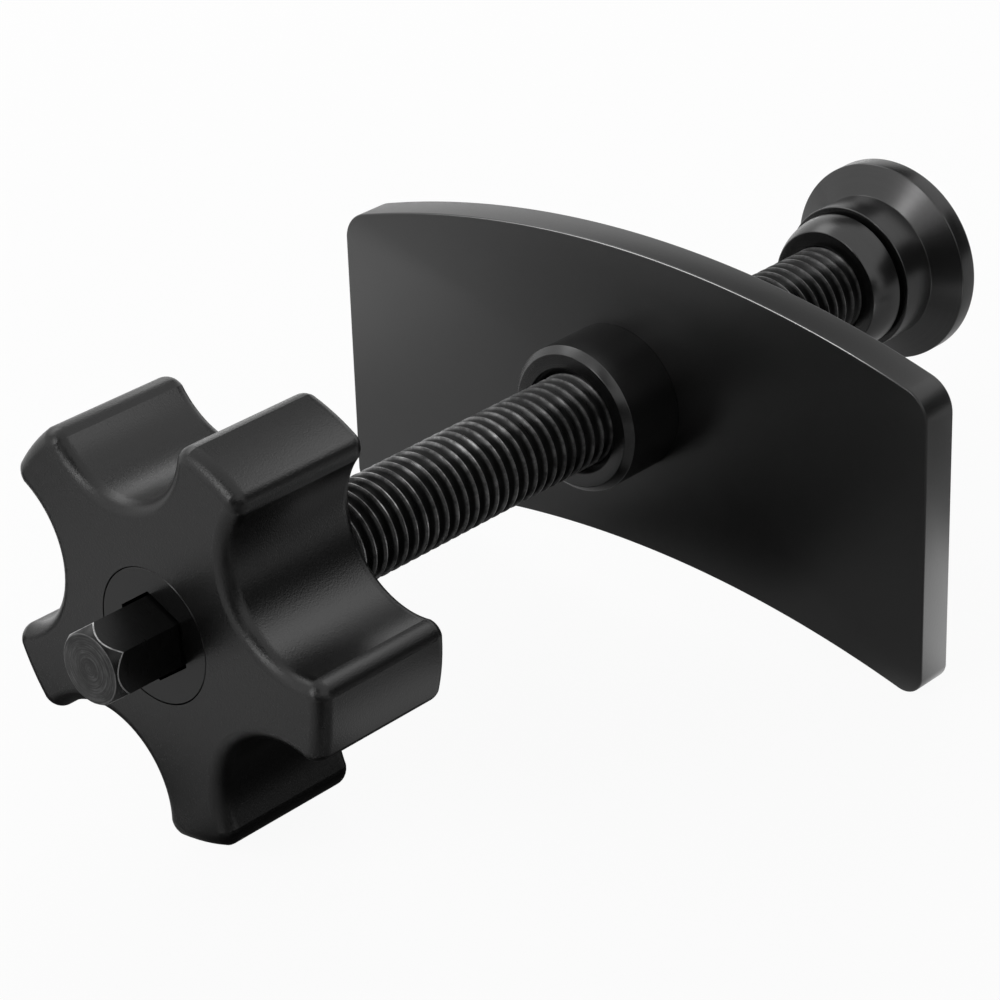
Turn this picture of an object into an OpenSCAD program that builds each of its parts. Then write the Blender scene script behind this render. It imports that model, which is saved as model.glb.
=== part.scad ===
// Brake caliper piston tool
// A screw runs through a threaded boss in a curved reaction plate. The plate bears on the
// caliper's fingers, and the swivelling pad at the screw's end presses the piston back.
// The screw lies along Y, with the hand knob at -Y and the pad at +Y. The origin is on
// the screw's axis, in the plate's face towards the knob.

/* [Reaction plate] */
// Width of the plate
plate_w = 107.6; // [90:0.2:130]
// Height of the plate along any upright line
plate_h = 46; // [40:1:60]
// Thickness of the plate
plate_t = 6; // [5:0.5:9]
// Radius of the curved upper and lower edges
plate_arc_r = 172; // [130:1:260]
// Radius of the upper corners
plate_corner_r = 5; // [2:0.1:8]
// Radius of the lower corners
plate_low_corner_r = 3; // [2:0.1:8]

/* [Threaded boss] */
// Wall of the boss around its thread
boss_wall = 4; // [3:0.1:7]
// Height of the boss above the plate
boss_l = 10.7; // [6:0.1:16]
// Chamfer on the boss's front rim
boss_chamfer = 1; // [0.3:0.1:1.4]
// Size of the flare at the boss's foot
boss_foot = 0.5; // [0.2:0.1:1.5]
// Depth of the countersink at each end of the boss's thread
boss_sink = 1; // [0.4:0.1:1.2]
// Wall of the spigot that goes through the plate
spigot_wall = 2.2; // [1.6:0.1:2.6]
// Width of the weld bead at the spigot's rear end
weld_w = 1.8; // [1:0.1:2.5]
// Height of the weld bead above the plate's rear face
weld_rise = 0.5; // [0.2:0.1:0.8]

/* [Lead screw] */
// Diameter over the thread's crests, for a 14 mm coarse thread
thread_d = 13.9; // [12.5:0.1:15]
// Pitch of the thread
thread_pitch = 2; // [1.5:0.25:3]
// Depth of the thread
thread_depth = 1.2; // [0.8:0.1:1.4]
// Length of thread that shows between the knob and the collar
thread_l = 115.3; // [90:0.1:160]
// Distance from the plate to the knob, as the tool is set
knob_gap = 68.3; // [30:0.1:75]
// Depth that the thread goes into the knob
thread_in_knob = 6; // [4:0.5:8]
// Size of the drive hex across its flats
hex_af = 10; // [8:0.5:11]
// Length of the drive hex in front of the knob
hex_stub = 11; // [6:0.5:20]
// Length of the taper on the drive hex's corners
hex_taper_l = 1.7; // [1:0.1:3]
// Diameter of the flat end of the drive hex
hex_end_d = 9.6; // [7:0.1:9.8]
// Diameter of the journal that carries the pad
journal_d = 9; // [7:0.5:10]

/* [Hand knob] */
// Diameter over the knob's lobes
knob_d = 59.5; // [54:0.5:75]
// Thickness of the knob
knob_t = 23; // [18:0.5:32]
// Radius of the finger valleys
valley_r = 11.8; // [10:0.2:13]
// Depth of the finger valleys below the lobes
valley_depth = 11.8; // [8:0.2:13]
// Radius of the lobes' corners
lobe_corner_r = 2.7; // [2.2:0.1:3.6]
// Radius of the knob's front and rear edges
knob_edge_r = 2.1; // [0.6:0.1:2.1]
// Turn of the knob, from the X axis to the nearest lobe
knob_turn = -7; // [-36:1:36]

/* [Knob hub] */
// Diameter of the steel hub in the knob
hub_d = 19; // [17:0.5:24]
// Chamfer on the hub's front rim
hub_edge = 0.2; // [0.1:0.1:0.6]
// Length of the hub's round front flange
hub_flange_l = 5; // [3:0.5:7]
// Length of the hub's hexagonal waist
hub_waist_l = 4; // [2:0.5:5]
// Size of the waist across its flats
hub_waist_af = 14.5; // [13.5:0.5:15]
// Diameter of the grub screw that holds the hub
grub_d = 5; // [3:0.5:6]
// Length of the grub screw
grub_l = 4; // [3:0.5:4]
// Size of the grub screw's socket across its flats
grub_socket_af = 2.5; // [1.5:0.1:2.6]

/* [Thrust collar] */
// Wall of the collar around the screw
collar_wall = 3.6; // [3.2:0.1:6]
// Length of the collar
collar_l = 6.2; // [5.6:0.1:12]
// Diameter of the collar's near face, at the start of its bulged side
collar_nose_d = 17; // [16:0.2:19]
// Diameter of the pin through the collar's wall
pin_d = 3; // [2:0.5:4]
// Depth that the pin goes into the screw
pin_bite = 3.5; // [2:0.5:4]
// Thickness of the thrust washer
washer_t = 0.8; // [0.5:0.1:2]
// How far the washer's rim lies inside the collar's
washer_step = 1; // [0.5:0.1:2]

/* [Pressure pad] */
// Diameter of the pad's hub
pad_hub_d = 22.7; // [20:0.1:26]
// Length of the pad's hub
pad_hub_l = 5.9; // [4:0.1:10]
// Length of the pad's cone
pad_cone_l = 2.3; // [1:0.1:6]
// Diameter of the pad
pad_d = 31.4; // [28:0.2:44]
// Width of the pad's rim
pad_rim_l = 3.1; // [2:0.1:6]
// Diameter of the recess in the pad's face
recess_d = 17; // [16:0.5:20]
// Depth of the recess in the pad's face
recess_depth = 3.6; // [3:0.1:5]
// Thickness of the circlip
clip_t = 1; // [0.6:0.1:1.2]
// Width of the circlip's band
clip_band = 2; // [1.5:0.1:2.2]

/* [Fits] */
// Radial clearance of the screw in the boss and of the journal in the pad
running_gap = 0.05; // [0.02:0.01:0.09]
// Clearance between pieces that are pressed, screwed or welded together
seat_gap = 0.02; // [0.01:0.01:0.05]
// Play between the faces of the collar, washer, pad and circlip
face_play = 0.03; // [0.01:0.01:0.1]
// Clearance of the hub around the drive hex
hex_gap = 0.45; // [0.05:0.05:0.6]
// Clearance of the knob around the thread
thread_gap = 0.2; // [0.1:0.05:0.5]

/* [Hidden] */
$fn = 96;
// Facets for the plate's long arcs, which are part of a large circle
long_arc_fn = 720;

lobe_count = 5;
edge_break = 0.4;
through = 1;
corner_reach = 2;
// A rounded corner crosses the edges it joins by this much, at a very low angle
corner_lap = 0.05;
pin_land = 0.9;

thread_r = thread_d / 2;
bore_r = thread_r + running_gap;
boss_r = bore_r + boss_wall;
spigot_r = bore_r + spigot_wall;
spigot_hole_r = spigot_r + seat_gap;

thread_root_r = thread_r - thread_depth;
crest_l = thread_pitch / 8;
groove_count = ceil(thread_l / thread_pitch);

knob_r = knob_d / 2;
lobe_pitch = 360 / lobe_count;
valley_at = knob_r - valley_depth + valley_r;
knob_back_y = -knob_gap;
knob_front_y = knob_back_y - knob_t;
hex_end_y = knob_front_y - hex_stub;
shoulder_y = knob_back_y - thread_in_knob;
hub_l = shoulder_y - knob_front_y;
hub_rear_y = knob_front_y + hub_flange_l + hub_waist_l;

// The grub screw sits in the middle of the hub's rear part, below the valley it is reached from
grub_y = (hub_rear_y + shoulder_y) / 2;
grub_valley = 3;
grub_angle = knob_turn + (grub_valley + 0.5) * lobe_pitch;

collar_y = knob_back_y + thread_l;
collar_end_y = collar_y + collar_l;
collar_bore_r = thread_r + seat_gap;
collar_r = collar_bore_r + collar_wall;
// The pin goes in near the pad, where the collar's wall is thickest
pin_y = collar_end_y - pin_d / 2 - pin_land;
pin_end_r = (collar_r + collar_nose_d / 2) / 2;
pin_angle = 225;

washer_y = collar_end_y + face_play;
pad_y = washer_y + washer_t + face_play;
pad_l = pad_hub_l + pad_cone_l + pad_rim_l;
pad_floor_l = pad_l - recess_depth;
journal_r = journal_d / 2;
clip_y = pad_y + pad_floor_l + face_play;
clip_groove_depth = 0.4;
clip_bore_r = journal_r - clip_groove_depth + seat_gap;
clip_lug_r = 1.3;
clip_hole_r = 0.6;
clip_opening = 2.6;
journal_land = 1.2;
journal_end_y = clip_y + clip_t + journal_land;

// A point at a radius and an angle in the X-Z plane
function polar(r, angle) = [r * cos(angle), r * sin(angle)];

// Turns a half section about an axis along Y through a point of the X-Z plane, from y0 on
module turned(y0, at = [0, 0]) {
    translate([at.x, y0, at.y]) rotate([-90, 0, 0]) rotate_extrude() children();
}

// Extrudes an outline of the X-Z plane along +Y
module extruded(y0, depth) {
    translate([0, y0 + depth, 0]) rotate([90, 0, 0]) linear_extrude(depth) children();
}

// Points a piece that is drawn along +Z outwards from the screw's axis
module outwards(y0, angle) {
    translate([0, y0, 0]) rotate([0, 90 - angle, 0]) children();
}

// A hexagon with one flat square to an angle
module hexagon(af, angle) {
    rotate(angle + 30) circle(r = af / 2 / cos(30), $fn = 6);
}

// The four-cornered area around a rounded corner, between the two ways from its centre
module corner_area(centre, from, to, reach) {
    middle = (from + to) / 2;
    polygon([centre, centre + polar(reach, from),
             centre + polar(reach / cos((to - from) / 2), middle), centre + polar(reach, to)]);
}

// What is cut away outside a right corner of the plate. The way is 1 for the upper arc and
// -1 for the lower one, and the corner's centre is one corner radius inside both edges.
module plate_corner_cut(arc_centre, r, way) {
    inset = r - corner_lap;
    reach = plate_arc_r - way * inset;
    side = plate_w / 2 - inset;
    slope = asin(side / reach);
    corner = [side, arc_centre.y + reach * cos(slope)];
    from = way > 0 ? 0 : -90 - slope;
    to = way > 0 ? 90 - slope : 0;
    difference() {
        corner_area(corner, from, to, corner_reach * r);
        translate(corner) circle(r);
    }
}

// The plate's outline in the X-Z plane: upright sides between two parallel arcs
module plate_outline() {
    upper = [0, plate_h / 2 - plate_arc_r];
    lower = upper - [0, plate_h];
    difference() {
        intersection() {
            translate(upper) circle(plate_arc_r, $fn = long_arc_fn);
            translate([-plate_w / 2, -2 * plate_h]) square([plate_w, 4 * plate_h]);
        }
        translate(lower) circle(plate_arc_r, $fn = long_arc_fn);
        for (way = [0, 1]) mirror([way, 0]) {
            plate_corner_cut(upper, plate_corner_r, 1);
            plate_corner_cut(lower, plate_low_corner_r, -1);
        }
    }
}

module reaction_plate() color([0.13, 0.13, 0.14]) {
    difference() {
        extruded(0, plate_t) plate_outline();
        turned(-through) square([spigot_hole_r, plate_t + 2 * through]);
        turned(plate_t - weld_w)
            polygon([[0, 0], [spigot_hole_r, 0], [spigot_hole_r + weld_w + through, weld_w + through],
                     [0, weld_w + through]]);
    }
}

module threaded_boss() color([0.08, 0.08, 0.09]) {
    end = boss_l + plate_t;
    turned(-boss_l)
        polygon([[bore_r + boss_sink, 0], [boss_r - boss_chamfer, 0], [boss_r, boss_chamfer],
                 [boss_r, boss_l - boss_foot], [boss_r + boss_foot, boss_l],
                 [spigot_r, boss_l], [spigot_r, end], [bore_r + boss_sink, end],
                 [bore_r, end - boss_sink], [bore_r, boss_sink]]);
}

// The bead fills the groove around the spigot and stands up in a low arc
module boss_weld() color([0.1, 0.1, 0.1]) {
    inner = spigot_hole_r;
    outer = spigot_hole_r + weld_w - 2 * seat_gap;
    half = (outer - inner) / 2;
    arc_r = (half ^ 2 + weld_rise ^ 2) / (2 * weld_rise);
    turned(plate_t) {
        polygon([[inner, 2 * seat_gap - weld_w], [outer, 0], [inner, 0]]);
        intersection() {
            translate([inner + half, weld_rise - arc_r]) circle(arc_r);
            translate([inner, 0]) square([2 * half, weld_rise]);
        }
    }
}

// Half section of one groove of the thread, which is drawn as rings of its pitch and depth
function thread_groove(y) =
    [[thread_r, y + crest_l], [thread_root_r, y + (crest_l + thread_pitch) / 2],
     [thread_r, y + thread_pitch]];

module lead_screw() color([0.16, 0.16, 0.17]) {
    groove_r = journal_r - clip_groove_depth;
    hex_end_r = hex_end_d / 2;
    corner_r = hex_af / 2 / cos(30);
    hex_l = shoulder_y - hex_end_y;
    // The taper's cone goes on past the hex's corners
    taper_r = corner_r + through;
    taper_l = hex_taper_l * (taper_r - hex_end_r) / (corner_r - hex_end_r);
    difference() {
        union() {
            intersection() {
                extruded(hex_end_y, hex_l + through) hexagon(hex_af, grub_angle);
                turned(hex_end_y)
                    polygon([[0, 0], [hex_end_r, 0], [taper_r, taper_l], [taper_r, hex_l + through],
                             [0, hex_l + through]]);
            }
            turned(0)
                polygon([[0, shoulder_y], [thread_r - edge_break, shoulder_y],
                         [thread_r, shoulder_y + edge_break],
                         for (i = [0:groove_count - 1]) each thread_groove(knob_back_y + i * thread_pitch),
                         [thread_r, collar_end_y], [journal_r, collar_end_y],
                         [journal_r, clip_y - seat_gap], [groove_r, clip_y - seat_gap],
                         [groove_r, clip_y + clip_t + seat_gap], [journal_r, clip_y + clip_t + seat_gap],
                         [journal_r, journal_end_y - edge_break],
                         [journal_r - edge_break, journal_end_y], [0, journal_end_y]]);
        }
        outwards(pin_y, pin_angle) translate([0, 0, thread_r - pin_bite])
            cylinder(r = pin_d / 2 + seat_gap, h = collar_wall + pin_bite + through);
    }
}

// Half section of a disc with rounded edges
module disc_section(r) {
    intersection() {
        square([r, knob_t]);
        union() {
            square([r - knob_edge_r, knob_t]);
            translate([0, knob_edge_r]) square([r, knob_t - 2 * knob_edge_r]);
            for (y = [knob_edge_r, knob_t - knob_edge_r])
                translate([r - knob_edge_r, y]) circle(knob_edge_r);
        }
    }
}

// Half section of the cutter for a finger valley: its flared ends leave rounded edges
module valley_section() {
    difference() {
        square([valley_r + knob_edge_r, knob_t]);
        translate([valley_r, knob_edge_r]) square([knob_edge_r + through, knob_t - 2 * knob_edge_r]);
        for (y = [knob_edge_r, knob_t - knob_edge_r])
            translate([valley_r + knob_edge_r, y]) circle(knob_edge_r);
    }
}

// The knob's body: a rounded disc with finger valleys, and lobes with rounded corners
module knob_body() {
    difference() {
        turned(knob_front_y) disc_section(knob_r);
        for (i = [0:lobe_count - 1])
            turned(knob_front_y, polar(valley_at, knob_turn + (i + 0.5) * lobe_pitch)) valley_section();
        for (i = [0:lobe_count - 1], side = [-1, 1]) lobe_corner_cut(knob_turn + i * lobe_pitch, side);
    }
}

// What is cut away outside one corner of a lobe. The corner's centre is one corner radius
// inside the disc and one outside the valley.
module lobe_corner_cut(lobe_angle, side) {
    corner_at = knob_r - lobe_corner_r + corner_lap;
    reach = valley_r + lobe_corner_r - corner_lap;
    swing = acos((corner_at ^ 2 + valley_at ^ 2 - reach ^ 2) / (2 * corner_at * valley_at));
    corner_angle = lobe_pitch / 2 - swing;
    corner = polar(corner_at, side * corner_angle);
    way = polar(valley_at, side * lobe_pitch / 2) - corner;
    difference() {
        extruded(knob_front_y - through, knob_t + 2 * through) rotate(lobe_angle)
            corner_area(corner, side * corner_angle, atan2(way.y, way.x), corner_reach * lobe_corner_r);
        turned(knob_front_y, polar(corner_at, lobe_angle + side * corner_angle))
            disc_section(lobe_corner_r);
    }
}

module hand_knob() color([0.06, 0.06, 0.06]) {
    difference() {
        knob_body();
        hub_body(seat_gap);
        turned(shoulder_y - through) square([thread_r + thread_gap, thread_in_knob + 2 * through]);
        outwards(grub_y, grub_angle) cylinder(r = grub_d / 2 + thread_gap, h = knob_r);
    }
}

// The hub's outside: round ends and a hexagonal waist that keys it into the knob
module hub_body(grow) {
    reach = grow > 0 ? through : 0;
    extruded(knob_front_y - reach, hub_flange_l + reach) circle(hub_d / 2 + grow);
    extruded(knob_front_y, hub_l) hexagon(hub_waist_af + 2 * grow, grub_angle);
    extruded(hub_rear_y, shoulder_y - hub_rear_y) circle(hub_d / 2 + grow);
}

module knob_hub() color([0.07, 0.07, 0.07]) {
    hub_r = hub_d / 2;
    difference() {
        hub_body(0);
        turned(knob_front_y)
            polygon([[hub_r - hub_edge - through, -through], [hub_r + through, -through],
                     [hub_r + through, hub_edge + through]]);
        extruded(knob_front_y - through, hub_l + 2 * through) hexagon(hex_af + 2 * hex_gap, grub_angle);
        outwards(grub_y, grub_angle) cylinder(r = grub_d / 2 + seat_gap, h = hub_d);
    }
}

module knob_grub_screw() color([0.3, 0.3, 0.3]) {
    tip = hex_af / 2;
    socket_l = grub_l / 2;
    outwards(grub_y, grub_angle) translate([0, 0, tip]) difference() {
        rotate_extrude()
            polygon([[0, 0], [grub_d / 2 - edge_break, 0], [grub_d / 2, edge_break], [grub_d / 2, grub_l],
                     [0, grub_l]]);
        translate([0, 0, grub_l - socket_l])
            cylinder(r = grub_socket_af / 2 / cos(30), h = socket_l + through, $fn = 6);
    }
}

// The collar's bulged side runs from its near face to its full diameter at the washer
module thrust_collar() color([0.1, 0.1, 0.11]) {
    drop = collar_r - collar_nose_d / 2;
    bulge_r = (drop ^ 2 + collar_l ^ 2) / (2 * drop);
    difference() {
        turned(collar_y) intersection() {
            translate([collar_bore_r, 0]) square([collar_wall, collar_l]);
            translate([collar_r - bulge_r, collar_l]) circle(bulge_r);
        }
        outwards(pin_y, pin_angle) cylinder(r = pin_d / 2 + seat_gap, h = 2 * collar_r);
    }
}

module collar_pin() color([0.35, 0.35, 0.36]) {
    outwards(pin_y, pin_angle) translate([0, 0, thread_r - pin_bite])
        cylinder(d = pin_d, h = pin_end_r - thread_r + pin_bite);
}

module thrust_washer() color([0.05, 0.05, 0.05]) {
    turned(washer_y) translate([journal_r + running_gap, 0])
        square([collar_r - washer_step - journal_r - running_gap, washer_t]);
}

module pressure_pad() color([0.1, 0.1, 0.11]) {
    pad_bore_r = journal_r + running_gap;
    hub_r = pad_hub_d / 2;
    rim_r = pad_d / 2;
    cone_end = pad_hub_l + pad_cone_l;
    turned(pad_y)
        polygon([[pad_bore_r, 0], [hub_r - edge_break, 0], [hub_r, edge_break], [hub_r, pad_hub_l],
                 [rim_r, cone_end], [rim_r, pad_l - edge_break], [rim_r - edge_break, pad_l],
                 [recess_d / 2, pad_l], [recess_d / 2, pad_floor_l], [pad_bore_r, pad_floor_l]]);
}

// An open ring with two pierced lugs at its ends
module pad_circlip() color([0.3, 0.3, 0.31]) {
    outer_r = clip_bore_r + clip_band;
    swing = asin((clip_opening / 2 + clip_lug_r) / outer_r);
    extruded(clip_y, clip_t) difference() {
        union() {
            circle(outer_r);
            for (side = [-1, 1]) translate(polar(outer_r, side * swing - 90)) circle(clip_lug_r);
        }
        circle(clip_bore_r);
        translate([-clip_opening / 2, -2 * outer_r]) square([clip_opening, 2 * outer_r]);
        for (side = [-1, 1]) translate(polar(outer_r, side * swing - 90)) circle(clip_hole_r);
    }
}

reaction_plate();
threaded_boss();
boss_weld();
lead_screw();
hand_knob();
knob_hub();
knob_grub_screw();
thrust_collar();
collar_pin();
thrust_washer();
pressure_pad();
pad_circlip();
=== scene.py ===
"""Looks for a brake caliper piston tool: a knob, a screw through a curved plate, and a pad."""
import math

import bmesh
import bpy
from mathutils import Matrix, Quaternion, Vector

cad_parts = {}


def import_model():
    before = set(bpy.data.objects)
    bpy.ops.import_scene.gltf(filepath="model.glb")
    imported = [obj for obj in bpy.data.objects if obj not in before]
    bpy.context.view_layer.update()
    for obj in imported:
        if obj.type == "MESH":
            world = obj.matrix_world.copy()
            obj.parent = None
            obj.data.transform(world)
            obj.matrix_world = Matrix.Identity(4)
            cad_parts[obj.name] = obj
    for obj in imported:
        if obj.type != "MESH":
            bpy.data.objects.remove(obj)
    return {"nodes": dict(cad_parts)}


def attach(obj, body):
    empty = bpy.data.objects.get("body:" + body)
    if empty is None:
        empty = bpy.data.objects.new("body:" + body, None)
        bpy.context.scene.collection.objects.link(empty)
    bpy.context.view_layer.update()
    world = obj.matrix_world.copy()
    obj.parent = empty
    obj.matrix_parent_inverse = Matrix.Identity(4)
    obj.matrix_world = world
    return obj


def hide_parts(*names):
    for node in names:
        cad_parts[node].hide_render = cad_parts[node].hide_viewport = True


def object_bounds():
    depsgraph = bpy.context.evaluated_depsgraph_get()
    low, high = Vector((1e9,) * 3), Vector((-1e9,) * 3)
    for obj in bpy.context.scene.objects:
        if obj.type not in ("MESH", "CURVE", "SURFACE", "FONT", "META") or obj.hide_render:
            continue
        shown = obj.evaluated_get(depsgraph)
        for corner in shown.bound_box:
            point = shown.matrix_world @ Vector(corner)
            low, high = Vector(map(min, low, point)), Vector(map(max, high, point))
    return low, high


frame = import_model()
cad_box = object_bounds()
nodes = frame["nodes"]

# Sizes in millimetres. Y runs along the screw, from the knob to the pad, and Z is up.
MM = 0.001
PLATE_W, PLATE_H, PLATE_T = 107.6, 46.0, 6.0
PLATE_ARC_R, PLATE_CORNER_R, PLATE_LOW_CORNER_R, PLATE_EDGE_R = 172.0, 5.0, 3.0, 0.3
PLATE_RING_R = 15.0
SPIGOT_HOLE_R, WELD_W, WELD_RISE = 9.22, 1.8, 0.5
BOSS_R, BOSS_BORE_R, BOSS_L, BOSS_CHAMFER, SPIGOT_R = 11.0, 7.0, 10.7, 1.0, 9.2
BOSS_FOOT_Y, COUNTERSINK = -0.02, 1.0
CREST_R, ROOT_R, PITCH = 6.95, 5.75, 2.0
HEX_END_Y, KNOB_FRONT_Y, SHOULDER_Y, COLLAR_END_Y = -102.3, -91.3, -74.3, 53.2
HEX_EDGE_R = 0.1
COLLAR_FACE_Y, COLLAR_BORE_R, COLLAR_R, COLLAR_BULGE_R = 48.2, 6.97, 10.57, 10.32
PIN_Y, PIN_ANGLE, PIN_HOLE_R = 50.8, 225, 1.52
PAD_Y, PAD_HUB_R, PAD_HUB_L, PAD_CONE_L, PAD_R, PAD_L = 54.06, 11.35, 5.9, 2.3, 15.7, 11.3
PAD_BORE_R, PAD_RECESS_R, PAD_FLOOR_L = 4.55, 8.5, 7.7

# How many steps the curves of the plate's outline and edges have, and those of the thread.
LOW_CORNER_STEPS, CORNER_STEPS, ARC_STEPS, EDGE_STEPS = 14, 12, 90, 6
PROFILE_STEPS, THREAD_SEGMENTS = 10, 72


# Nodes

def feed(tree, socket, value):
    """Links a socket to an output or a varying value, or sets it to a constant."""
    value = value.socket if isinstance(value, Value) else value
    if isinstance(value, bpy.types.NodeSocket):
        tree.links.new(value, socket)
    else:
        socket.default_value = value


def add_node(tree, kind, settings=None, sockets=None):
    """A new node, with its settings and then the values or links of its sockets."""
    node = tree.nodes.new(kind)
    for key, value in (settings or {}).items():
        setattr(node, key, value)
    for key, value in (sockets or {}).items():
        feed(tree, node.inputs[key], value)
    return node


class Value:
    """A number that varies over a surface. Arithmetic on it adds Math nodes."""

    def __init__(self, finish, socket):
        self.finish, self.socket = finish, socket

    def math(self, operation, first, second=0.0):
        node = self.finish.add("ShaderNodeMath", {"operation": operation}, {0: first, 1: second})
        return Value(self.finish, node.outputs[0])

    def __add__(self, other):
        return self.math("ADD", self, other)

    def __radd__(self, other):
        return self.math("ADD", other, self)

    def __rsub__(self, other):
        return self.math("SUBTRACT", other, self)

    def __mul__(self, other):
        return self.math("MULTIPLY", self, other)

    def __rmul__(self, other):
        return self.math("MULTIPLY", other, self)

    def __pow__(self, other):
        return self.math("POWER", self, other)

    def ramp(self, low, high):
        """0 below low, 1 above high, and a smooth rise between them."""
        node = self.finish.add("ShaderNodeMapRange", {"interpolation_type": "SMOOTHSTEP"},
                               {"Value": self, "From Min": low, "From Max": high})
        return Value(self.finish, node.outputs["Result"])


class Finish:
    """A material with a Principled shader. The keywords set the shader's own sockets."""

    def __init__(self, name, **constants):
        self.material = bpy.data.materials.new(name)
        self.material.use_nodes = True
        self.tree = self.material.node_tree
        self.tree.nodes.clear()
        self.shader = self.add("ShaderNodeBsdfPrincipled")
        self.set(**constants)
        self.output = self.add("ShaderNodeOutputMaterial", {}, {"Surface": self.shader.outputs[0]})
        self.place = self.add("ShaderNodeTexCoord").outputs["Object"]
        split = self.add("ShaderNodeSeparateXYZ", {}, {0: self.place})
        self.x, self.y, self.z = (Value(self, socket) for socket in split.outputs)

    def add(self, kind, settings=None, sockets=None):
        return add_node(self.tree, kind, settings, sockets)

    def set(self, **values):
        for key, value in values.items():
            feed(self.tree, self.shader.inputs[key.replace("_", " ")], value)

    def blend(self, share, first, second):
        """Shows a mix of two shaders in place of the Principled one alone."""
        node = self.add("ShaderNodeMixShader", {},
                        {0: share, 1: first.outputs[0], 2: second.outputs[0]})
        feed(self.tree, self.output.inputs["Surface"], node.outputs[0])

    def radius(self):
        """Distance from the screw's axis."""
        return (self.x * self.x + self.z * self.z) ** 0.5

    def vector(self, x, y, z):
        return self.add("ShaderNodeCombineXYZ", {}, {0: x, 1: y, 2: z}).outputs[0]

    def noise(self, scale, detail=3.0, roughness=0.5, at=None):
        node = self.add("ShaderNodeTexNoise", {}, {"Vector": at or self.place, "Scale": scale,
                                                   "Detail": detail, "Roughness": roughness})
        return Value(self, node.outputs[0])

    def attribute(self, name):
        node = self.add("ShaderNodeAttribute", {"attribute_name": name})
        return Value(self, node.outputs["Fac"])

    def mix(self, share, first, second):
        node = self.add("ShaderNodeMix", {"data_type": "RGBA"}, {0: share, 6: first, 7: second})
        return node.outputs[2]

    def bump(self, height, strength, distance):
        node = self.add("ShaderNodeBump", {}, {"Height": height, "Strength": strength,
                                               "Distance": distance})
        self.set(Normal=node.outputs[0])


# Materials

def grey(level):
    return (level, level, level, 1.0)


def coated_plate():
    """Satin black coating with a fine orange peel, and a painted highlight of light grey metal along the
    front upper edge.
    """
    f = Finish("coated_plate", IOR=1.6)
    cloud = f.noise(55, 4, 0.6)
    peel = f.noise(2600, 2, 0.5)
    coat = f.mix(cloud, grey(0.003), grey(0.005))
    # Painted highlight: light grey metal on the front upper edge, strongest right of the middle and
    # fading out towards both ends of the top.
    painted_glint = f.attribute("edge") * f.x.ramp(-50 * MM, 10 * MM) * (-1.0 * f.x).ramp(-50 * MM, -38 * MM)
    f.set(Base_Color=f.mix(painted_glint, coat, grey(0.6)), Metallic=painted_glint,
          Roughness=0.28 + 0.06 * cloud + 0.04 * peel)
    f.bump(peel + 0.6 * f.noise(900, 2), 0.06, 0.00012)
    return f.material


def turned_boss():
    """Glossy black over fine turning marks."""
    f = Finish("turned_boss", IOR=1.6)
    along = f.vector(f.radius() * 9000, f.y * 9000, 0.0)
    marks = f.noise(1.0, 3, 0.6, along)
    stain = f.noise(160, 3, 0.6)
    f.set(Base_Color=f.mix(stain, grey(0.002), grey(0.005)),
          Roughness=0.17 + 0.1 * marks + 0.06 * stain)
    f.bump(marks, 0.12, 0.00006)
    return f.material


def oxide_screw():
    """Black oxide, worn to grey steel along the hex's edges and the crests; the crests are drawn dimmer
    from near the boss on.
    """
    f = Finish("oxide_screw", IOR=1.37)
    scuff = f.noise(700, 4, 0.65)
    patch = f.noise(260, 3, 0.6)
    streak = f.noise(1.0, 2, 0.5, f.vector(f.x * 500, f.y * 9000, f.z * 500))
    rings = f.noise(1.0, 3, 0.7, f.vector(f.radius() * 5200, f.x * 300, f.z * 300))
    end_face = (-1.0 * f.y).ramp((-HEX_END_Y - 0.06) * MM, (-HEX_END_Y - 0.02) * MM)
    crest = f.attribute("crest").ramp(0.6, 1.0) * patch.ramp(0.2, 0.6)
    # The crests' grey is drawn dimmer from near the boss towards the pad.
    from_boss_on = f.y.ramp(-36 * MM, -16 * MM)
    worn_crest = crest * (0.4 + 0.6 * scuff.ramp(0.35, 0.65)) * (1 - 0.6 * from_boss_on)
    worn = worn_crest + f.attribute("edge") * (0.4 + 0.6 * scuff.ramp(0.3, 0.6))
    faced = end_face * rings.ramp(0.35, 0.75) * patch.ramp(0.3, 0.7)
    dark = f.mix(scuff, grey(0.001), grey(0.004))
    f.set(Base_Color=f.mix(worn, f.mix(faced, dark, grey(0.08)), grey(0.42)),
          Metallic=worn + 0.4 * faced, Roughness=0.24 + 0.1 * streak + 0.12 * end_face)
    f.bump(streak + scuff + 5.0 * rings * end_face, 0.15, 0.00005)
    return f.material


def moulded_knob():
    """Black moulding with a fine spark-eroded grain."""
    f = Finish("moulded_knob", IOR=1.47)
    grain = f.noise(4200, 2, 0.6)
    cloud = f.noise(70, 3, 0.5)
    f.set(Base_Color=f.mix(cloud, grey(0.0008), grey(0.002)),
          Roughness=0.22 + 0.1 * grain + 0.05 * cloud)
    f.bump(grain, 0.6, 0.00006)
    return f.material


def blackened_hub():
    """Blackened steel, faced on a lathe."""
    f = Finish("blackened_hub", IOR=1.43)
    rings = f.noise(1.0, 2, 0.5, f.vector(f.radius() * 5000, f.y * 3000, 0.0))
    grain = f.noise(3800, 2, 0.6)
    f.set(Base_Color=f.mix(grain, grey(0.0008), grey(0.002)), Roughness=0.2 + 0.08 * rings)
    f.bump(grain + 0.5 * rings, 0.18, 0.00005)
    return f.material


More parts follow.
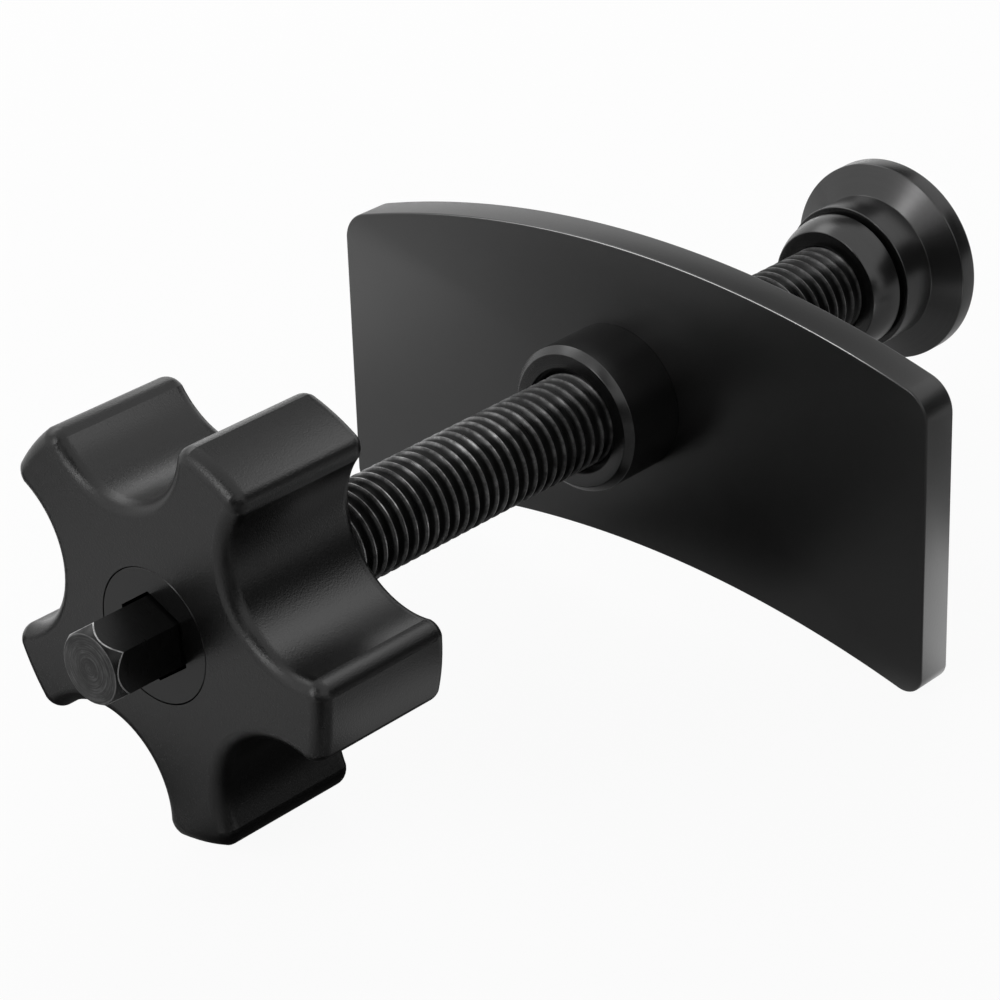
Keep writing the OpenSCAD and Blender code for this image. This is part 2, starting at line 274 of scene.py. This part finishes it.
def turned_pad():
    """Semi-gloss black oxide over lathe marks that run round the axis."""
    f = Finish("turned_pad", IOR=1.6)
    rings = f.noise(1.0, 4, 0.7, f.vector(f.radius() * 4200, f.y * 4200, 0.0))
    fine = f.noise(1.0, 2, 0.5, f.vector(f.radius() * 14000, f.y * 14000, 0.0))
    stain = f.noise(120, 3, 0.6)
    f.set(Base_Color=f.mix(rings, grey(0.05), grey(0.08)), Metallic=0.95,
          Roughness=0.19 + 0.07 * fine + 0.05 * stain)
    f.bump(rings + 0.5 * fine, 0.16, 0.00005)
    return f.material


def oiled_washer():
    """Dark oiled steel with lathe marks."""
    f = Finish("oiled_washer", IOR=1.5)
    rings = f.noise(1.0, 2, 0.5, f.vector(f.radius() * 6000, f.y * 6000, 0.0))
    f.set(Base_Color=f.mix(rings, grey(0.002), grey(0.005)), Roughness=0.45 + 0.15 * rings)
    return f.material


def oxide_fastener():
    """Black oxide on the pin, the grub screw and the circlip."""
    f = Finish("oxide_fastener", IOR=1.5)
    scuff = f.noise(1500, 4, 0.6)
    f.set(Base_Color=f.mix(scuff, grey(0.03), grey(0.1)), Metallic=0.8, Roughness=0.3 + 0.2 * scuff)
    f.bump(scuff, 0.1, 0.00004)
    return f.material


def coated_weld():
    """A black coating like the plate's, over a bead that is a little rough."""
    f = Finish("coated_weld", IOR=1.6)
    lump = f.noise(1400, 3, 0.6)
    f.set(Base_Color=f.mix(lump, grey(0.003), grey(0.006)), Roughness=0.32 + 0.15 * lump)
    f.bump(lump, 0.2, 0.0001)
    return f.material


# Pieces

def linked(name, data):
    """A new object in the scene."""
    obj = bpy.data.objects.new(name, data)
    bpy.context.scene.collection.objects.link(obj)
    return obj


def baked(obj):
    """The plain mesh that an object's modifiers make. The object itself is removed."""
    made = bpy.data.meshes.new_from_object(obj.evaluated_get(bpy.context.evaluated_depsgraph_get()))
    bpy.data.objects.remove(obj)
    return made


def piece(name, body, node, mesh, material, crease=35):
    """A finished piece that stands for a CAD node. Edges sharper than the crease stay sharp."""
    bm = bmesh.new()
    bm.from_mesh(mesh)
    bmesh.ops.remove_doubles(bm, verts=bm.verts, dist=2e-7)
    bmesh.ops.dissolve_degenerate(bm, edges=bm.edges, dist=1e-7)
    bmesh.ops.recalc_face_normals(bm, faces=bm.faces)
    for face in bm.faces:
        face.smooth = True
        face.material_index = 0
    for edge in bm.edges:
        edge.smooth = len(edge.link_faces) == 2 and edge.calc_face_angle(0.0) < math.radians(crease)
    bm.to_mesh(mesh)
    bm.free()
    mesh.materials.clear()
    mesh.materials.append(material)
    obj = linked(name, mesh)
    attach(obj, body)
    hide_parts(node)


def loops_mesh(name, loops):
    """A mesh from rings of as many points each, in millimetres. The last ring joins the first."""
    count = len(loops[0])
    verts = [Vector(p) * MM for loop in loops for p in loop]
    faces = []
    for i in range(len(loops)):
        a, b = i * count, (i + 1) % len(loops) * count
        for j in range(count):
            k = (j + 1) % count
            faces.append((a + j, a + k, b + k, b + j))
    mesh = bpy.data.meshes.new(name)
    mesh.from_pydata(verts, [], faces)
    return mesh


def soft_corner(p, a, b, r, steps=5):
    """Points of the arc that rounds a corner between two ways from it."""
    half = a.angle(b) / 2
    a, b = a.normalized(), b.normalized()
    reach = r / math.tan(half)
    centre = p + (a + b).normalized() * (r / math.sin(half))
    first, last = p + a * reach - centre, p + b * reach - centre
    return [centre + first.slerp(last, s / steps).normalized() * r for s in range(steps + 1)]


def rounded(points):
    """A closed outline of (radius, y, corner radius), with each corner turned into an arc."""
    made = []
    for i, (px, py, r) in enumerate(points):
        p = Vector((px, py))
        a = Vector(points[i - 1][:2]) - p
        b = Vector(points[(i + 1) % len(points)][:2]) - p
        made += soft_corner(p, a, b, r) if r else [p]
    return made


def turned(name, outline, segments=160):
    """A closed (radius, y) outline turned about the screw's axis."""
    loops = []
    for p in outline:
        ring = []
        for j in range(segments):
            t = 2 * math.pi * j / segments
            ring.append((p.x * math.cos(t), p.y, p.x * math.sin(t)))
        loops.append(ring)
    return loops_mesh(name, loops)


def arc(centre, radius, start, end, count):
    """Points on an arc of the X-Z plane, in degrees, without the last one."""
    return [(centre[0] + radius * math.cos(math.radians(start + (end - start) * i / count)),
             centre[1] + radius * math.sin(math.radians(start + (end - start) * i / count)))
            for i in range(count)]


def plate_outline(inset):
    """The plate's outline, moved in by an even distance: lower right corner, upper right corner,
    top, upper left corner, lower left corner, bottom."""
    def corner(arc_z, r, way):
        side, reach = PLATE_W / 2 - r, PLATE_ARC_R - way * r
        slope = math.degrees(math.asin(side / reach))
        return side, arc_z + math.sqrt(reach ** 2 - side ** 2), slope

    top = PLATE_H / 2 - PLATE_ARC_R
    low = top - PLATE_H
    side, side_z, slope = corner(top, PLATE_CORNER_R, 1)
    low_side, low_z, low_slope = corner(low, PLATE_LOW_CORNER_R, -1)
    r, low_r = PLATE_CORNER_R - inset, PLATE_LOW_CORNER_R - inset
    points = arc((low_side, low_z), low_r, -90 - low_slope, 0, LOW_CORNER_STEPS)
    points += arc((side, side_z), r, 0, 90 - slope, CORNER_STEPS)
    points += arc((0, top), PLATE_ARC_R - inset, 90 - slope, 90 + slope, ARC_STEPS)
    points += arc((-side, side_z), r, 90 + slope, 180, CORNER_STEPS)
    points += arc((-low_side, low_z), low_r, 180, 270 + low_slope, LOW_CORNER_STEPS)
    points += arc((0, low), PLATE_ARC_R + inset, 90 + low_slope, 90 - low_slope, ARC_STEPS)
    return points


def reaction_plate(material):
    """The plate, with the edges of both faces rounded a little and a highlight painted along the front
    upper one.
    """
    outline = plate_outline(0)

    def loop(inset, y):
        return [(x, y, z) for x, z in plate_outline(inset)]

    def ring(r, y):
        return [(x / math.hypot(x, z) * r, y, z / math.hypot(x, z) * r) for x, z in outline]

    edge = []
    for i in range(EDGE_STEPS + 1):
        t = math.radians(90 * i / EDGE_STEPS)
        edge.append((PLATE_EDGE_R * (1 - math.sin(t)), PLATE_EDGE_R * (1 - math.cos(t))))
    front = [ring(SPIGOT_HOLE_R, 0), ring(PLATE_RING_R, 0)]
    sides = [loop(inset, y) for inset, y in edge]
    sides += [loop(inset, PLATE_T - y) for inset, y in reversed(edge)]
    rear = [ring(PLATE_RING_R, PLATE_T), ring(SPIGOT_HOLE_R + WELD_W, PLATE_T),
            ring(SPIGOT_HOLE_R, PLATE_T - WELD_W)]
    mesh = loops_mesh("reaction_plate_coated", front + sides + rear)
    glint_faces = mesh.attributes.new("edge", "FLOAT", "FACE")
    # The painted highlight goes on the third row of the front edge, from the middle of the upper right
    # corner to the top's left end.
    row = (len(front) + 2) * len(outline)
    first = LOW_CORNER_STEPS + CORNER_STEPS // 2
    for j in range(first, LOW_CORNER_STEPS + CORNER_STEPS + ARC_STEPS):
        glint_faces.data[row + j].value = 1.0
    piece("reaction_plate_coated", "plate", "reaction_plate", mesh, material, crease=25)


def threaded_boss(material):
    """The boss, with its rims rounded and its bore countersunk at both ends."""
    sunk_r = BOSS_BORE_R + COUNTERSINK
    outline = [(sunk_r, -BOSS_L, 0.12), (BOSS_R - BOSS_CHAMFER, -BOSS_L, 0.2),
               (BOSS_R, BOSS_CHAMFER - BOSS_L, 0.25), (BOSS_R, BOSS_FOOT_Y, 0),
               (SPIGOT_R, BOSS_FOOT_Y, 0), (SPIGOT_R, PLATE_T, 0.1), (sunk_r, PLATE_T, 0.1),
               (BOSS_BORE_R, PLATE_T - COUNTERSINK, 0.1), (BOSS_BORE_R, COUNTERSINK - BOSS_L, 0.1)]
    mesh = turned("threaded_boss_turned", rounded(outline))
    piece("threaded_boss_turned", "plate", "threaded_boss", mesh, material)


def weld_bead(material):
    """The bead behind the plate, with the ripples of its passes."""
    inner, outer = SPIGOT_HOLE_R + 0.03, SPIGOT_HOLE_R + WELD_W - 0.06
    segments, ripples, arch_steps = 432, 54, 8
    profile = [(inner, PLATE_T - WELD_W + 0.08, 0)]
    for i in range(arch_steps + 1):
        share = i / arch_steps
        profile.append((outer + (inner - outer) * share, PLATE_T, math.sin(math.pi * share)))
    loops = []
    for r, y, swell in profile:
        ring = []
        for j in range(segments):
            t = 2 * math.pi * j / segments
            ripple = 0.5 + 0.5 * math.cos(ripples * t + 1.3 * (r - inner) + 0.4 * math.sin(7 * t))
            rise = swell ** 0.7 * WELD_RISE * (0.72 + 0.26 * ripple ** 0.6)
            ring.append((r * math.cos(t), y + rise, r * math.sin(t)))
        loops.append(ring)
    mesh = loops_mesh("boss_weld_bead", loops)
    piece("boss_weld_bead", "plate", "boss_weld", mesh, material, crease=60)


def thread_nodes():
    """Geometry nodes that wind a thread's flanks about the Y axis, between two ends."""
    tree = bpy.data.node_groups.new("wound_thread", "GeometryNodeTree")
    tree.interface.new_socket("Geometry", in_out="OUTPUT", socket_type="NodeSocketGeometry")
    for name, kind in (("Crest Radius", "Float"), ("Root Radius", "Float"), ("Pitch", "Float"),
                       ("Start", "Float"), ("End", "Float"), ("Turns", "Int"), ("Segments", "Int"),
                       ("Material", "Material")):
        tree.interface.new_socket(name, in_out="INPUT", socket_type="NodeSocket" + kind)

    def add(kind, settings=None, sockets=None):
        return add_node(tree, kind, settings, sockets)

    def math_node(operation, first, second=0.0, third=0.0):
        node = add("ShaderNodeMath", {"operation": operation}, {0: first, 1: second, 2: third})
        return node.outputs[0]

    sizes = add("NodeGroupInput").outputs
    around = math_node("ADD", sizes["Segments"], 1)
    lines = math_node("MULTIPLY_ADD", sizes["Turns"], PROFILE_STEPS, 1)
    grid = add("GeometryNodeMeshGrid", {}, {"Vertices X": lines, "Vertices Y": around})
    index = add("GeometryNodeInputIndex").outputs[0]
    line = math_node("FLOOR", math_node("DIVIDE", math_node("ADD", index, 0.5), around))
    share = math_node("DIVIDE", math_node("SUBTRACT", index, math_node("MULTIPLY", line, around)),
                      sizes["Segments"])
    turn = math_node("ADD", math_node("DIVIDE", line, PROFILE_STEPS), math_node("SUBTRACT", share, 1.0))
    wanted = math_node("MULTIPLY_ADD", turn, sizes["Pitch"], sizes["Start"])
    held = math_node("MINIMUM", math_node("MAXIMUM", wanted, sizes["Start"]), sizes["End"])
    inside = math_node("COMPARE", wanted, held, 1e-7)
    phase = math_node("DIVIDE", math_node("MODULO", line, PROFILE_STEPS), PROFILE_STEPS)
    height = add("ShaderNodeFloatCurve", {}, {"Value": phase})
    curve = height.mapping.curves[0]
    flanks = ((0, 1), (0.1, 1), (0.45, 0), (0.65, 0), (1, 1))
    for spot, level in flanks[1:-1]:
        curve.points.new(spot, level)
    for point, flank in zip(curve.points, flanks):
        point.location, point.handle_type = flank, "VECTOR"
    height.mapping.update()
    tall = math_node("MULTIPLY", height.outputs[0], inside)
    depth = math_node("SUBTRACT", sizes["Crest Radius"], sizes["Root Radius"])
    reach = math_node("MULTIPLY_ADD", tall, depth, sizes["Root Radius"])
    angle = math_node("MULTIPLY", share, 2 * math.pi)
    x = math_node("MULTIPLY", reach, math_node("SINE", angle))
    z = math_node("MULTIPLY", reach, math_node("COSINE", angle))
    place = add("ShaderNodeCombineXYZ", {}, {0: x, 1: held, 2: z})
    marked = add("GeometryNodeStoreNamedAttribute", {"data_type": "FLOAT", "domain": "POINT"},
                 {"Geometry": grid.outputs[0], "Name": "crest", "Value": tall})
    wound = add("GeometryNodeSetPosition", {},
                {"Geometry": marked.outputs[0], "Position": place.outputs[0]})
    welded = add("GeometryNodeMergeByDistance", {}, {"Geometry": wound.outputs[0], "Distance": 2e-6})
    real = add("GeometryNodeRealizeInstances", {}, {"Geometry": welded.outputs[0]})
    dressed = add("GeometryNodeSetMaterial", {},
                  {"Geometry": real.outputs[0], "Material": sizes["Material"]})
    add("NodeGroupOutput", {}, {0: dressed.outputs[0]})
    return tree


def wound_thread(material, start, end):
    """The screw's thread as a plain mesh, with how near each point is to a crest."""
    obj = linked("wound_thread", bpy.data.meshes.new("wound_thread"))
    tree = thread_nodes()
    modifier = obj.modifiers.new("thread", "NODES")
    modifier.node_group = tree
    names = {item.name: item.identifier for item in tree.interface.items_tree if item.in_out == "INPUT"}
    turns = math.ceil((end - start) / PITCH) + 1
    for name, value in (("Crest Radius", CREST_R * MM), ("Root Radius", ROOT_R * MM),
                        ("Pitch", PITCH * MM), ("Start", start * MM), ("End", end * MM),
                        ("Turns", turns), ("Segments", THREAD_SEGMENTS), ("Material", material)):
        modifier[names[name]] = value
    return baked(obj)


def lead_screw(material):
    """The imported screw's hex and journal, with worn edges, and a wound thread in place of its rings."""
    def in_rings(v):
        return v.co.y > (SHOULDER_Y + 0.3) * MM and math.hypot(v.co.x, v.co.z) > (ROOT_R - 0.1) * MM

    def in_pin_pocket(v):
        return abs(v.co.y / MM - PIN_Y) < 2

    def on_hex(v):
        return v.co.y < (KNOB_FRONT_Y + 2) * MM

    def at_end(v):
        return v.co.y < (HEX_END_Y + 0.15) * MM

    bm = bmesh.new()
    bm.from_mesh(nodes["lead_screw"].data)
    bmesh.ops.remove_doubles(bm, verts=bm.verts, dist=1e-6)
    for unwanted in (in_rings, in_pin_pocket):
        faces = [f for f in bm.faces if all(unwanted(v) for v in f.verts)]
        bmesh.ops.delete(bm, geom=faces, context="FACES")
    bmesh.ops.holes_fill(bm, edges=bm.edges)
    bmesh.ops.dissolve_limit(bm, angle_limit=math.radians(0.5), verts=bm.verts, edges=bm.edges)
    edge_wear = bm.faces.layers.float.new("edge")
    edges = [e for e in bm.edges
             if e.calc_face_angle(0.0) > math.radians(10) and all(on_hex(v) for v in e.verts)]
    made = bmesh.ops.bevel(bm, geom=edges, offset=HEX_EDGE_R * MM, segments=2, profile=0.5,
                           affect="EDGES", clamp_overlap=True)
    full, little = 1.0, 0.18
    for face in made["faces"]:
        face[edge_wear] = little if all(at_end(v) for v in face.verts) else full
    bmesh.ops.triangulate(bm, faces=bm.faces)
    bm.from_mesh(wound_thread(material, SHOULDER_Y + 0.1, COLLAR_END_Y - 0.1))
    bmesh.ops.holes_fill(bm, edges=bm.edges)
    mesh = bpy.data.meshes.new("lead_screw_cut")
    bm.to_mesh(mesh)
    bm.free()
    piece("lead_screw_cut", "screw", "lead_screw", mesh, material, crease=28)


def drilled(mesh, start, end, radius, segments=48):
    """A copy of a closed mesh with a round hole from one point to another, in millimetres."""
    def outward(name, bm):
        bmesh.ops.recalc_face_normals(bm, faces=bm.faces)
        made = bpy.data.meshes.new(name)
        bm.to_mesh(made)
        bm.free()
        return linked(name, made)

    whole, drill = bmesh.new(), bmesh.new()
    whole.from_mesh(mesh)
    way = Vector(end) - Vector(start)
    turn = Vector((0, 0, 1)).rotation_difference(way).to_matrix().to_4x4()
    middle = Matrix.Translation((Vector(start) + way / 2) * MM)
    bmesh.ops.create_cone(drill, cap_ends=True, segments=segments, radius1=radius * MM,
                          radius2=radius * MM, depth=way.length * MM, matrix=middle @ turn)
    whole, drill = outward("whole", whole), outward("drill", drill)
    cut = whole.modifiers.new("hole", "BOOLEAN")
    cut.operation, cut.object, cut.solver = "DIFFERENCE", drill, "EXACT"
    made = baked(whole)
    bpy.data.objects.remove(drill)
    return made


def thrust_collar(material):
    """The collar, with a flat face towards the plate, a soft edge round it and the pin's hole below."""
    def bulge(y):
        return COLLAR_R - COLLAR_BULGE_R + math.sqrt(COLLAR_BULGE_R ** 2 - (COLLAR_END_Y - y) ** 2)

    steps = 12
    side = [COLLAR_FACE_Y + (COLLAR_END_Y - COLLAR_FACE_Y) * i / steps for i in range(steps + 1)]
    outline = [(COLLAR_BORE_R, COLLAR_END_Y, 0), (COLLAR_BORE_R, COLLAR_FACE_Y, 0.05),
               (bulge(side[0]), side[0], 0.28)]
    outline += [(bulge(y), y, 0) for y in side[2:-1]] + [(COLLAR_R, COLLAR_END_Y, 0.15)]
    ring = turned("thrust_collar_turned", rounded(outline))
    x, z = math.cos(math.radians(PIN_ANGLE)), math.sin(math.radians(PIN_ANGLE))
    in_bore, past_side = 6, 12
    mesh = drilled(ring, (in_bore * x, PIN_Y, in_bore * z), (past_side * x, PIN_Y, past_side * z),
                   PIN_HOLE_R)
    piece("thrust_collar_turned", "screw", "thrust_collar", mesh, material)


def pressure_pad(material):
    """The pad, with its turned edges broken."""
    y, cone = PAD_Y, PAD_Y + PAD_HUB_L
    rim, face = cone + PAD_CONE_L, PAD_Y + PAD_L
    outline = [(PAD_BORE_R, y, 0.1), (PAD_HUB_R, y, 0.2), (PAD_HUB_R, cone, 0.15), (PAD_R, rim, 0.25),
               (PAD_R, face, 0.45), (PAD_RECESS_R, face, 0.25), (PAD_RECESS_R, y + PAD_FLOOR_L, 0.4),
               (PAD_BORE_R, y + PAD_FLOOR_L, 0.1)]
    mesh = turned("pressure_pad_turned", rounded(outline), segments=192)
    piece("pressure_pad_turned", "pad", "pressure_pad", mesh, material)


turned_finish, fastener_finish = turned_pad(), oxide_fastener()
reaction_plate(coated_plate())
threaded_boss(turned_boss())
weld_bead(coated_weld())
lead_screw(oxide_screw())
thrust_collar(turned_finish)
pressure_pad(turned_finish)
for node, finish in (("hand_knob", moulded_knob()), ("knob_hub", blackened_hub()),
                     ("thrust_washer", oiled_washer()), ("knob_grub_screw", fastener_finish),
                     ("collar_pin", fastener_finish), ("pad_circlip", fastener_finish)):
    nodes[node].data.materials.clear()
    nodes[node].data.materials.append(finish)


# Studio

def floor():
    """A white floor that keeps a soft shadow. Most of what the camera sees of it is its own light."""
    half, below, own_light = 3.0, 0.1 * MM, 0.94
    f = Finish("white_floor", Base_Color=grey(0.9), Roughness=0.7, Specular_IOR_Level=0.2)
    seen = Value(f, f.add("ShaderNodeLightPath").outputs["Is Camera Ray"])
    white = f.add("ShaderNodeEmission", {}, {"Color": grey(1.0), "Strength": 1.0})
    f.blend(seen * own_light, f.shader, white)
    mesh = bpy.data.meshes.new("floor")
    z = cad_box[0][2] - below
    mesh.from_pydata([(-half, -half, z), (half, -half, z), (half, half, z), (-half, half, z)], [],
                     [(0, 1, 2, 3)])
    mesh.materials.append(f.material)
    obj = linked("floor", mesh)


def softbox(name, place, target, size, power):
    """A rectangular lamp that faces a point and that reflections don't show. Sizes in metres."""
    lamp = bpy.data.lights.new(name, "AREA")
    lamp.shape, lamp.size, lamp.size_y, lamp.energy = "RECTANGLE", size[0], size[1], power
    obj = linked(name, lamp)
    obj.location = place
    obj.rotation_euler = (Vector(target) - Vector(place)).to_track_quat("-Z", "Y").to_euler()
    obj.visible_camera = obj.visible_glossy = False


def card(name, place, target, size, level, soft=0.35, turn=0.0):
    """A soft-edged card that only reflections see, at a grey level. Sizes in metres."""
    f = Finish(name)
    w, h = size[0] / 2, size[1] / 2
    lit = f.add("ShaderNodeEmission", {}, {"Color": grey(1.0), "Strength": level})
    clear = f.add("ShaderNodeBsdfTransparent")
    right, left, high, low = [(side * at).ramp(-length, (soft - 1) * length)
                              for at, length in ((f.x, w), (f.y, h)) for side in (-1.0, 1.0)]
    f.blend(right * left * high * low, clear, lit)
    mesh = bpy.data.meshes.new(name)
    mesh.from_pydata([(-w, -h, 0), (w, -h, 0), (w, h, 0), (-w, h, 0)], [], [(0, 1, 2, 3)])
    mesh.materials.append(f.material)
    obj = linked(name, mesh)
    obj.location = place
    facing = (Vector(target) - Vector(place)).to_track_quat("Z", "Y")
    obj.rotation_euler = (facing @ Quaternion((0, 0, 1), math.radians(turn))).to_euler()
    obj.visible_camera = obj.visible_diffuse = obj.visible_shadow = False


def floor_card(name, centre, size, level, soft=0.5, rise=0.0, turn=0.0):
    """A card that lies over the floor and paints shade or light into what low faces reflect. In
    millimetres.
    """
    x, y, z = centre[0] * MM, centre[1] * MM, cad_box[0][2] + rise * MM
    card(name, (x, y, z), (x, y, 1), (size[0] * MM, size[1] * MM), level, soft, turn)


def world():
    """White for what the camera and reflections see, and a softer level for fill."""
    made = bpy.data.worlds.new("studio")
    bpy.context.scene.world = made
    made.use_nodes = True
    tree = made.node_tree
    tree.nodes.clear()
    path = add_node(tree, "ShaderNodeLightPath").outputs
    seen = path["Is Camera Ray"]
    for name in ("Is Glossy Ray", "Is Transmission Ray"):
        most = add_node(tree, "ShaderNodeMath", {"operation": "MAXIMUM"}, {0: seen, 1: path[name]})
        seen = most.outputs[0]
    level = add_node(tree, "ShaderNodeMapRange", {}, {"Value": seen, "To Min": 0.25, "To Max": 1.0})
    sky = add_node(tree, "ShaderNodeBackground", {},
                   {"Color": grey(1.0), "Strength": level.outputs["Result"]})
    add_node(tree, "ShaderNodeOutputWorld", {}, {0: sky.outputs[0]})


def camera():
    """The view of the photograph, with a little roll."""
    azimuth, elevation, roll = math.radians(42.847), math.radians(26.591), -0.03575
    target, distance = Vector((-24.036, 0, -24.166)) * MM, 546.417 * MM
    focal_px, picture_px, sensor_mm = 3637.83, 1000, 36.0
    back = Vector((math.sin(azimuth) * math.cos(elevation), -math.cos(azimuth) * math.cos(elevation),
                   math.sin(elevation)))
    level = Vector((math.cos(azimuth), math.sin(azimuth), 0))
    rise = back.cross(level)
    right = level * math.cos(roll) + rise * math.sin(roll)
    up = rise * math.cos(roll) - level * math.sin(roll)
    data = bpy.data.cameras.new("camera")
    data.sensor_width, data.lens = sensor_mm, focal_px / picture_px * sensor_mm
    data.clip_start, data.clip_end = 0.01, 20
    obj = linked("camera", data)
    turn = Matrix((right, up, back)).transposed()
    obj.matrix_world = Matrix.Translation(target + back * distance) @ turn.to_4x4()
    bpy.context.scene.camera = obj


floor()
world()
camera()
softbox("front", (-0.45, -1.0, 0.36), (0, -0.03, 0), (1.0, 0.7), 9)
softbox("back", (-0.75, 0.9, 0.4), (0, -0.03, 0), (0.9, 0.5), 12)
card("strip", (-0.1, -0.95, 0.45), (0, 0, 0), (0.2, 0.8), 6.5)
card("overhead", (-0.62, 0.0, 0.72), (0, 0, 0), (1.1, 0.45), 2.8)
card("over_knob", (0.032, -0.048, 0.055), (0, -0.08, 0.02), (0.05, 0.05), 2.4, 0.6)
card("over_valley", (-0.042, -0.044, 0.046), (-0.005, -0.08, 0.02), (0.026, 0.026), 2.2, 0.6)
card("front_top", (0.3, -0.72, 0.72), (0, 0, 0), (0.6, 0.5), 0.05)
card("front_card", (0.5, -0.95, 0.1), (0, 0, 0), (1.2, 0.6), 0.02)
card("upper_card", (-0.4, 0.67, 0.62), (0, 0, 0), (0.6, 0.5), 0.1)
card("right_card", (0.75, 0.65, 0.2), (0, 0, 0), (1.2, 0.9), 0.05)
card("side_card", (1.0, -0.3, 0.1), (0, 0, 0), (0.9, 0.5), 0.05)
# These floor cards are painted shadow (the dark ones, under, beside and around the tool) and painted
# pools of light (left, below_lobe, right_end) on the floor as reflections see it.
floor_card("under_tool", (54, -33), (156, 146), 0.25, 0.12)
floor_card("under_screw", (2, -38), (46, 66), 0.0, 0.4, 0.1)
floor_card("under_knob", (22, -75), (50, 60), 0.03, 0.4, 0.1)
floor_card("beside_knob", (-44, -84), (88, 50), 0.05, 0.35)
floor_card("past_knob", (-109, -121), (92, 50), 0.0, 0.4, 0.3, 49)
floor_card("far_side", (480, -180), (640, 420), 0.05, 0.4, 0.05)
floor_card("far_front", (300, -500), (620, 480), 0.05, 0.4, 0.06)
floor_card("front_right", (90, -145), (130, 100), 0.1)
floor_card("left", (-130, -50), (110, 110), 1.5, 0.9)
floor_card("below_lobe", (39, -68), (24, 36), 0.7, 0.6, 15)
floor_card("far_right", (112, 78), (60, 60), 0.2, 0.6, 0.1)
floor_card("right_end", (66, 22), (58, 58), 2.0, 0.7, 0.2)

bpy.context.scene.view_settings.view_transform = "Standard"
